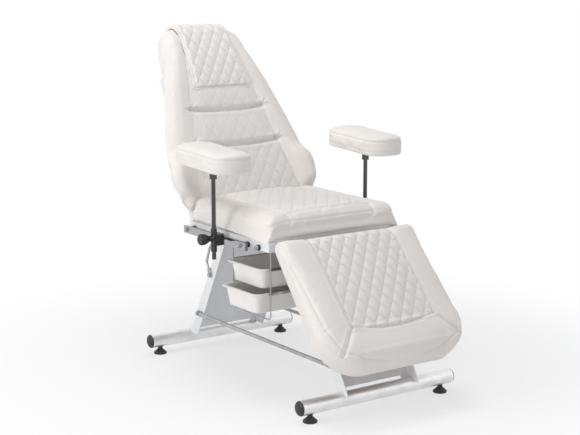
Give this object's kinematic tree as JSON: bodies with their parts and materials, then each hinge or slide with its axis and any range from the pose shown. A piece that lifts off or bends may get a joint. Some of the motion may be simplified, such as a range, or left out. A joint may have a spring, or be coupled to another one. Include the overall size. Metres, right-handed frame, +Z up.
{
  "type": "podiatry chair",
  "caption": "Treatment chair on splayed sheet pedestals, with a quilted reclining back, a lifting leg rest, swivelling arm rests on side rails and slide-out trays.",
  "frame": {"origin": "on the floor, midway between the four levelling feet", "axes": "+X across the chair to its right-hand side as seen from the foot end, +Y from the foot end to the head end, +Z up"},
  "size_m": [0.8323, 1.2468, 1.167],
  "materials": {
    "satin_steel_tube": "satin chromed tube",
    "black_plastic": "moulded, slightly glossy",
    "white_powder_coat": "smooth powder coat",
    "zinc_steel": "zinc plated",
    "plywood": "plain birch",
    "white_upholstery": "soft leatherette, quilted in diamonds",
    "polished_rail": "polished stainless",
    "chrome_wire": "dark bright chrome",
    "white_plastic": "moulded, soft gloss",
    "black_steel": "black enamel"
  },
  "bodies": {
    "frame": {"rear_foot_tube": "satin_steel_tube", "front_foot_tube": "satin_steel_tube", "tube_end_plugs": "black_plastic", "rear_pedestal": "white_powder_coat", "front_pedestal": "white_powder_coat", "left_tie_bar": "zinc_steel", "right_tie_bar": "zinc_steel", "left_bent_stay": "zinc_steel", "right_bent_stay": "zinc_steel", "pedestal_bolts": "zinc_steel", "seat_frame": "white_powder_coat", "frame_bolts": "zinc_steel", "seat_board": "plywood", "seat_cushion": "white_upholstery", "left_side_rail": "polished_rail", "right_side_rail": "polished_rail", "rail_bolts": "zinc_steel", "rail_spacers": "black_plastic", "left_rack_hoop": "chrome_wire", "right_rack_hoop": "chrome_wire", "upper_runners": "chrome_wire", "lower_runners": "chrome_wire", "back_hinge_pins": "zinc_steel", "leg_hinge_pins": "zinc_steel", "spring_pins": "zinc_steel"},
    "back": {"back_frame": "white_powder_coat", "back_board": "plywood", "back_cushion": "white_upholstery", "head_pad": "white_upholstery"},
    "leg_rest": {"leg_frame": "white_powder_coat", "leg_board": "plywood", "leg_cushion": "white_upholstery"},
    "upper_tray": {"upper_tray": "white_plastic"},
    "lower_tray": {"lower_tray": "white_plastic"},
    "back_spring_cylinder": {"back_spring_cylinder": "black_steel"},
    "back_spring_rod": {"back_spring_rod": "chrome_wire"},
    "leg_spring_cylinder": {"leg_spring_cylinder": "black_steel"},
    "leg_spring_rod": {"leg_spring_rod": "chrome_wire"},
    "rear_left_foot": {"rear_left_foot": "black_plastic"},
    "rear_right_foot": {"rear_right_foot": "black_plastic"},
    "front_left_foot": {"front_left_foot": "black_plastic"},
    "front_right_foot": {"front_right_foot": "black_plastic"},
    "left_clamp": {"left_clamp": "black_steel"},
    "left_clamp_knob": {"left_clamp_knob": "black_plastic"},
    "left_post": {"left_post": "chrome_wire"},
    "left_pad": {"left_pad_plate": "white_powder_coat", "left_arm_pad": "white_upholstery"},
    "right_clamp": {"right_clamp": "black_steel"},
    "right_clamp_knob": {"right_clamp_knob": "black_plastic"},
    "right_post": {"right_post": "chrome_wire"},
    "right_pad": {"right_pad_plate": "white_powder_coat", "right_arm_pad": "white_upholstery"}
  },
  "joints": [
    {"name": "backrest_recline", "type": "hinge", "parent": "frame", "child": "back", "pos_m": [0, 0.254, 0.505], "axis": [-1, 0, 0], "range_deg": [0, 55]},
    {"name": "legrest_raise", "type": "hinge", "parent": "frame", "child": "leg_rest", "pos_m": [0, -0.235, 0.494], "axis": [-1, 0, 0], "range_deg": [0, 45]},
    {"name": "back_spring_tilt", "type": "hinge", "parent": "frame", "child": "back_spring_cylinder", "pos_m": [0.2016, 0.01, 0.466], "axis": [-1, 0, 0], "range_deg": [0, 1.2]},
    {"name": "back_spring_stroke", "type": "slide", "parent": "back_spring_cylinder", "child": "back_spring_rod", "axis": [0, -0.9992, 0.0401], "range_m": [0, 0.0525]},
    {"name": "leg_spring_tilt", "type": "hinge", "parent": "frame", "child": "leg_spring_cylinder", "pos_m": [0.1816, -0.40795, 0.17], "axis": [1, 0, 0], "range_deg": [0, 11]},
    {"name": "leg_spring_stroke", "type": "slide", "parent": "leg_spring_cylinder", "child": "leg_spring_rod", "axis": [0, 0.4988, 0.8667], "range_m": [0, 0.0145]},
    {"name": "upper_tray_slide", "type": "slide", "parent": "frame", "child": "upper_tray", "axis": [-1, 0, 0], "range_m": [-0.08, 0.2]},
    {"name": "lower_tray_slide", "type": "slide", "parent": "frame", "child": "lower_tray", "axis": [-1, 0, 0], "range_m": [-0.103, 0.18]},
    {"name": "rear_left_foot_height", "type": "slide", "parent": "frame", "child": "rear_left_foot", "axis": [0, 0, -1], "range_m": [0, 0.012]},
    {"name": "rear_right_foot_height", "type": "slide", "parent": "frame", "child": "rear_right_foot", "axis": [0, 0, -1], "range_m": [0, 0.012]},
    {"name": "front_left_foot_height", "type": "slide", "parent": "frame", "child": "front_left_foot", "axis": [0, 0, -1], "range_m": [0, 0.012]},
    {"name": "front_right_foot_height", "type": "slide", "parent": "frame", "child": "front_right_foot", "axis": [0, 0, -1], "range_m": [0, 0.012]},
    {"name": "left_clamp_along_rail", "type": "slide", "parent": "frame", "child": "left_clamp", "axis": [0, 1, 0], "range_m": [-0.09, 0.045]},
    {"name": "left_knob_turn", "type": "hinge", "parent": "left_clamp", "child": "left_clamp_knob", "pos_m": [-0.311, 0.008, 0.503], "axis": [-1, 0, 0], "continuous": true},
    {"name": "left_post_height", "type": "slide", "parent": "left_clamp", "child": "left_post", "axis": [0, 0, 1], "range_m": [-0.04, 0.06]},
    {"name": "left_pad_swivel", "type": "hinge", "parent": "left_post", "child": "left_pad", "pos_m": [-0.311, 0.008, 0.72], "axis": [0, 0, 1], "range_deg": [-15, 25]},
    {"name": "right_clamp_along_rail", "type": "slide", "parent": "frame", "child": "right_clamp", "axis": [0, 1, 0], "range_m": [-0.09, 0.045]},
    {"name": "right_knob_turn", "type": "hinge", "parent": "right_clamp", "child": "right_clamp_knob", "pos_m": [0.311, 0.008, 0.503], "axis": [1, 0, 0], "continuous": true},
    {"name": "right_post_height", "type": "slide", "parent": "right_clamp", "child": "right_post", "axis": [0, 0, 1], "range_m": [-0.04, 0.06]},
    {"name": "right_pad_swivel", "type": "hinge", "parent": "right_post", "child": "right_pad", "pos_m": [0.311, 0.008, 0.72], "axis": [0, 0, 1], "range_deg": [-15, 25]}
  ],
  "couplings": [
    {"joint": "back_spring_tilt", "follows": "backrest_recline", "ratio": 0.018},
    {"joint": "back_spring_stroke", "follows": "backrest_recline", "m_per_rad": 0.05305},
    {"joint": "leg_spring_tilt", "follows": "legrest_raise", "ratio": 0.238},
    {"joint": "leg_spring_stroke", "follows": "legrest_raise", "m_per_rad": 0.018}
  ]
}
